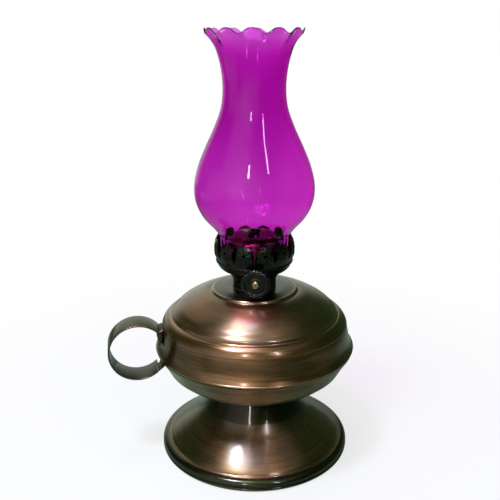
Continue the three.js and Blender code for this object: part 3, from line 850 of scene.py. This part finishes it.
# ------------------------------------------------------------------ wick and its drive
def build_wick_drive():
    tube = box_mesh("wick_tube_body", (4.0, 13.6, 43.4), (0, 0, 125.7), BRASS)
    add_bevel(tube, 0.9, 3)
    cut(tube, box_mesh("bore", (2.8, 12.4, 60), (0, 0, 125), BRASS),
        box_mesh("window", (1.6, 9.2, 9.2), (2.0, 0, SPINDLE_Z), BRASS))
    tube.data.transform(TURNED)
    stand_in(tube, "wick_tube", "burner")

    vent_wall = arc((1.2, 140.7), 0.3, 0, 180, 6) + [(0.9, 108.0), (1.5, 108.0)]
    vent = revolve("vent_tube_body", vent_wall, BRASS, 32, matrix=ON_VENT)
    stand_in(vent, "vent_tube", "burner")

    bush_wall = [(1.25, -10.5), (2.0, -10.5), (2.4, -10.1), (2.4, -0.4), (2.0, 0), (1.25, 0)]
    bush = revolve("spindle_bush_body", bush_wall, BLACK, 32, matrix=on_spindle(-23.0))
    stand_in(bush, "spindle_bush", "burner")

    rod_line = [(0, -38.4), (0.8, -38.4), (1.0, -38.2), (1.0, -0.2), (0.8, 0), (0, 0)]
    rod = revolve("spindle_rod", rod_line, STEEL, 32, matrix=on_spindle(-31.0))
    stand_in(rod, "spindle", "wick_knob")

    outline = []
    for i in range(10):
        for offset, radius in ((-0.30, 3.05), (-0.10, 3.9), (0.02, 4.0), (0.12, 3.15)):
            angle = (i + offset) * TAU / 10
            outline.append((radius * math.cos(angle), radius * math.sin(angle)))
    for i, along in enumerate((3, -3)):
        wheel = prism(f"spur_wheel_toothed_{i + 1}", outline, 1.0, BRASS, Matrix.Identity(4), bevel=0.08)
        cut(wheel, peg(1.25, -2, 2, Matrix.Rotation(math.radians(90), 4, "X"), 24))
        wheel.data.transform(TURNED @ Matrix.Translation((SPINDLE_X * MM, along * MM, SPINDLE_Z * MM)))
        stand_in(wheel, f"spur_wheel_{i + 1}", "wick_knob")

    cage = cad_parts["wheel_cage"]
    cage.data.materials.clear()
    cage.data.materials.append(BRASS)


def build_knob():
    ridges = 24

    def milled(radius, height, around):
        phase = (around * ridges / TAU) % 1.0
        tooth = np.clip(1.5 * np.sin(math.pi * phase), 0, 1) ** 0.7
        depth = 0.8 * (1 - tooth) * np.clip((radius - 7.8) / 0.8, 0, 1)
        return radius - depth, height

    profile = [(1.25, 0.0)] + smooth_run([(7.4, 0.0), (8.2, 0.05), (8.95, 0.25), (9.35, 0.6)], 3)
    profile += smooth_run([(9.4, 0.9), (9.4, 1.35), (9.2, 1.95), (8.75, 2.5), (8.2, 2.85), (7.8, 3.0)], 4)
    profile += smooth_run([(7.3, 2.85), (6.8, 2.5), (6.2, 2.35), (4.6, 2.35), (3.7, 2.5), (3.0, 2.75)], 4)
    profile.append((1.25, 2.8))
    knob = revolve("knob_milled", profile, KNOB_BLACK, ridges * 12, warp=milled, angle=45,
                   matrix=on_spindle(-28.4))
    stand_in(knob, "knob", "wick_knob")
    crown = smooth_run([(2.3, 0.15), (2.2, 0.75), (1.6, 1.2), (0.8, 1.38), (0.01, 1.4)], 5)
    head = revolve("knob_rivet_head", [(0, 0), (2.1, 0)] + crown[:-1] + [(0, 1.4)], PIN_BRASS, 48,
                   matrix=on_spindle(-31.55))
    stand_in(head, "knob_rivet", "wick_knob")


def build_wick():
    """A flat woven tape with rounded edges and a slightly uneven cut at the top."""
    bottom, top = 60.2, 149.1
    rows, count = 120, 48
    vertices, faces = [], []
    for row in range(rows + 1):
        z = bottom + (top - bottom) * row / rows
        for i in range(count):
            a = i * TAU / count
            x = 0.98 * math.copysign(abs(math.cos(a)) ** 0.35, math.cos(a))
            y = 5.9 * math.copysign(abs(math.sin(a)) ** 0.55, math.sin(a))
            ribs = 0.06 * math.cos(TAU * y / 1.3) * abs(math.cos(a)) ** 0.35
            uneven = 0.35 * math.sin(1.1 * y + 0.4) - 0.25 if row == rows else 0.0
            vertices.append(((x + math.copysign(ribs, x)) * MM, y * MM, (z + uneven) * MM))
    for row in range(rows):
        low, high = row * count, (row + 1) * count
        faces += [(low + i, low + (i + 1) % count, high + (i + 1) % count, high + i) for i in range(count)]
    faces.append(tuple(range(count)))
    faces.append(tuple(range(len(vertices) - 1, len(vertices) - 1 - count, -1)))
    wick = make_object("wick_tape", vertices, faces, COTTON, 50)
    wick.data.transform(TURNED)
    stand_in(wick, "wick", "wick")


# ------------------------------------------------------------------ chimney
def build_chimney():
    body = smooth_run([(22.7, 150.2), (23.2, 151.6), (26.2, 156.0), (33.2, 164.0), (37.6, 173.5),
                       (38.5, 184.0), (35.8, 196.0), (30.9, 208.0), (25.3, 220.0), (20.9, 232.0),
                       (19.55, 244.0), (20.6, 256.0), (23.1, 266.0), (26.3, 272.3), (30.2, 277.3)], 8)
    fitter = [(22.7, 138.9 + 0.8 * i) for i in range(14)]
    outer = fitter + body
    path = np.array(outer)
    along = np.gradient(path, axis=0)
    along /= np.linalg.norm(along, axis=1)[:, None]
    walls = 1.7 * (22.7 / path[:, 0]) ** 0.9
    walls *= np.interp(path[:, 1], [150.0, 166.0, 262.0, 273.0], [0.72, 1.0, 1.0, 0.52])
    wall = walls[-1]
    inner = path + np.stack([-along[:, 1], along[:, 0]], 1) * walls[:, None]
    foot_ring = arc((22.7 - walls[0] / 2, 138.9), walls[0] / 2, 180, 360, 8)
    tip = (path[-1] + inner[-1]) / 2
    heading = math.degrees(math.atan2(along[-1][1], along[-1][0]))
    lip = arc(tip, wall / 2, heading - 90, heading + 90, 10)
    outline = foot_ring[1:-1] + [tuple(p) for p in path] + lip[1:-1] + [tuple(p) for p in inner[::-1]]

    def scallop(radius, height, around):
        reach = np.clip((height - 262.0) / (277.3 - 262.0), 0, 1.1) ** 2
        wave = (0.5 - 0.5 * np.cos(12 * around + MOUTH_SHIFT)) ** 1.5
        swing = (1 - 2 * wave) * reach
        return radius + 0.15 * swing, height + 1.45 * swing

    chimney = revolve("chimney_glass", outline, GLASS, 288, warp=scallop, angle=70)
    stand_in(chimney, "chimney", "chimney")


# ------------------------------------------------------------------ floor, light
def seen_directly(n):
    """1 for what the eye sees, bare or through the glass, and 0 for what the metal mirrors."""
    path = n.new("LightPath").outputs
    unmirrored = n.maths("LESS_THAN", path["Glossy Depth"], 0.5)
    in_one_wall = n.maths("LESS_THAN", path["Transmission Depth"], 2.5)
    through = n.maths("MULTIPLY", path["Is Transmission Ray"], n.maths("MAXIMUM", unmirrored, in_one_wall))
    return n.maths("MAXIMUM", path["Is Camera Ray"], through)


def build_floor():
    """A pale floor that fades to plain white away from the lamp.

    In reflections it is dull green, with a soft glow far off behind, ahead and to the left.
    """
    n = Nodes("pale_floor")
    n.set(Metallic=0.0, Roughness=0.85)
    seen = seen_directly(n)
    x, y, _ = n.split(n.coords)
    away = n.maths("SQRT", n.maths("ADD", n.maths("MULTIPLY", x, x), n.maths("MULTIPLY", y, y)))
    mirrored = n.blend(n.remap(away, 0.12, 0.55), (0.25, 0.36, 0.25), (0.035, 0.060, 0.030))
    n.put(n.blend(seen, mirrored, (0.93, 0.93, 0.93)), n.shader.inputs["Base Color"])
    glow = n.new("Emission")
    glow.inputs["Color"].default_value = (1, 1, 1, 1)
    mix = n.new("MixShader")
    leaning = n.maths("ADD", x, n.maths("MULTIPLY", y, 0.15))
    aside = n.maths("DIVIDE", n.maths("ABSOLUTE", leaning), n.maths("MAXIMUM", y, 0.02))
    behind = n.maths("MULTIPLY", n.remap(y, 0.35, 0.90, 0.0, 0.75), n.remap(aside, 0.20, 0.65, 1.0, 0.0))
    front_left = n.maths("ADD", n.maths("MULTIPLY", x, -0.28), n.maths("MULTIPLY", y, -0.96))
    across = n.maths("DIVIDE", front_left, n.maths("MAXIMUM", away, 0.02))
    ahead = n.maths("MULTIPLY", n.remap(away, 0.40, 1.40, 0.0, 0.36), n.remap(across, 0.72, 0.99))
    leftward = n.maths("DIVIDE", n.maths("MULTIPLY", x, -1.0), n.maths("MAXIMUM", away, 0.02))
    left = n.maths("MULTIPLY", n.remap(away, 0.30, 0.90, 0.0, 0.34), n.remap(leftward, 0.80, 0.98))
    share = n.maths("MULTIPLY", n.remap(away, 0.08, 0.40, 0.74, 1.0), seen)
    lit = n.maths("MAXIMUM", n.maths("MAXIMUM", ahead, left), n.maths("MAXIMUM", share, behind))
    n.put(lit, mix.inputs[0])
    n.put(n.shader.outputs[0], mix.inputs[1])
    n.put(glow.outputs[0], mix.inputs[2])
    n.put(mix.outputs[0], n.output.inputs["Surface"])
    sides, reach = 96, 1.5
    around = [i * TAU / sides for i in range(sides)]
    vertices = [(0, 0, 0)] + [(reach * math.cos(a), reach * math.sin(a), 0) for a in around]
    faces = [(0, 1 + i, 1 + (i + 1) % sides) for i in range(sides)]
    make_object("floor", vertices, faces, n.material)


def build_world():
    """White behind the lamp; what it mirrors is a dim green room with pale patches, as a workshop has.

    Each patch is a direction, the cosines where it starts and is full, its strength and its colour.
    """
    patches = [
        ((-0.22, 0.97, 0.06), 0.76, 0.99, 0.56, (0.95, 1.00, 0.92)),
        ((-0.985, -0.17, -0.06), 0.88, 0.99, 0.30, (1.00, 1.00, 0.92)),
        ((-0.28, -0.95, 0.12), 0.74, 0.99, 0.46, (1.00, 0.80, 0.58)),
        ((-0.60, -0.69, 0.40), 0.80, 0.98, 0.46, (1.00, 0.92, 0.95)),
        ((-0.40, 0.60, 0.69), 0.90, 0.99, 0.34, (1.00, 0.90, 0.76)),
        ((0.20, -0.28, 0.94), 0.79, 0.99, 0.25, (1.00, 0.88, 0.74)),
    ]
    world = bpy.data.worlds.new("studio")
    scene.world = world
    world.use_nodes = True
    n = Tree(world.node_tree)
    coords = n.new("TexCoord").outputs["Generated"]
    room = n.new("RGB").outputs[0]
    room.default_value = (0.034, 0.064, 0.026, 1)
    for direction, start, full, strength, colour in patches:
        towards = tuple(Vector(direction).normalized())
        cosine = n.operate("VectorMath", "DOT_PRODUCT", coords, towards)["Value"]
        patch = n.scaled(colour, n.remap(cosine, start, full, 0.0, strength))
        room = n.vector_maths("ADD", room, patch)
    n.put(n.blend(seen_directly(n), room, (1, 1, 1)), n.tree.nodes["Background"].inputs["Color"])


def add_light(name, azimuth, elevation, distance, width, height, power, colour=(1, 1, 1)):
    """A soft box. Azimuth 0 is the front, positive to the right, and it faces the lamp."""
    data = bpy.data.lights.new(name, "AREA")
    data.shape = "RECTANGLE"
    data.size, data.size_y = width, height
    data.energy = power
    data.color = colour
    light = bpy.data.objects.new(name, data)
    a, e = math.radians(azimuth), math.radians(elevation)
    target = Vector((0, 0, 0.11))
    towards = Vector((math.sin(a) * math.cos(e), -math.cos(a) * math.cos(e), math.sin(e)))
    light.location = target + distance * towards
    light.rotation_euler = (target - light.location).to_track_quat("-Z", "Y").to_euler()
    scene.collection.objects.link(light)


def build_lights():
    COOL = (0.96, 1.0, 1.22)
    add_light("soft_top_core", -46, 66, 1.1, 0.17, 0.20, 6.0, COOL)
    add_light("soft_top_near", -40, 68, 1.12, 0.50, 0.36, 1.9, COOL)
    add_light("soft_top_wide", -22, 72, 1.15, 0.90, 0.50, 0.55, COOL)
    add_light("soft_ceiling", -110, 82, 0.95, 0.26, 0.30, 1.5, COOL)
    add_light("strip_right", 29, 40, 1.3, 0.045, 0.52, 1.4, COOL)
    add_light("strip_left", -12, 31.5, 1.3, 0.07, 0.28, 1.3, COOL)


build_floor()
build_world()
build_lights()
build_foot()
build_font()
build_ring()
build_burner_shell()
build_gallery()
build_cone_and_plate()
build_wick_drive()
build_knob()
build_wick()
build_chimney()

scene.view_settings.view_transform = "Standard"
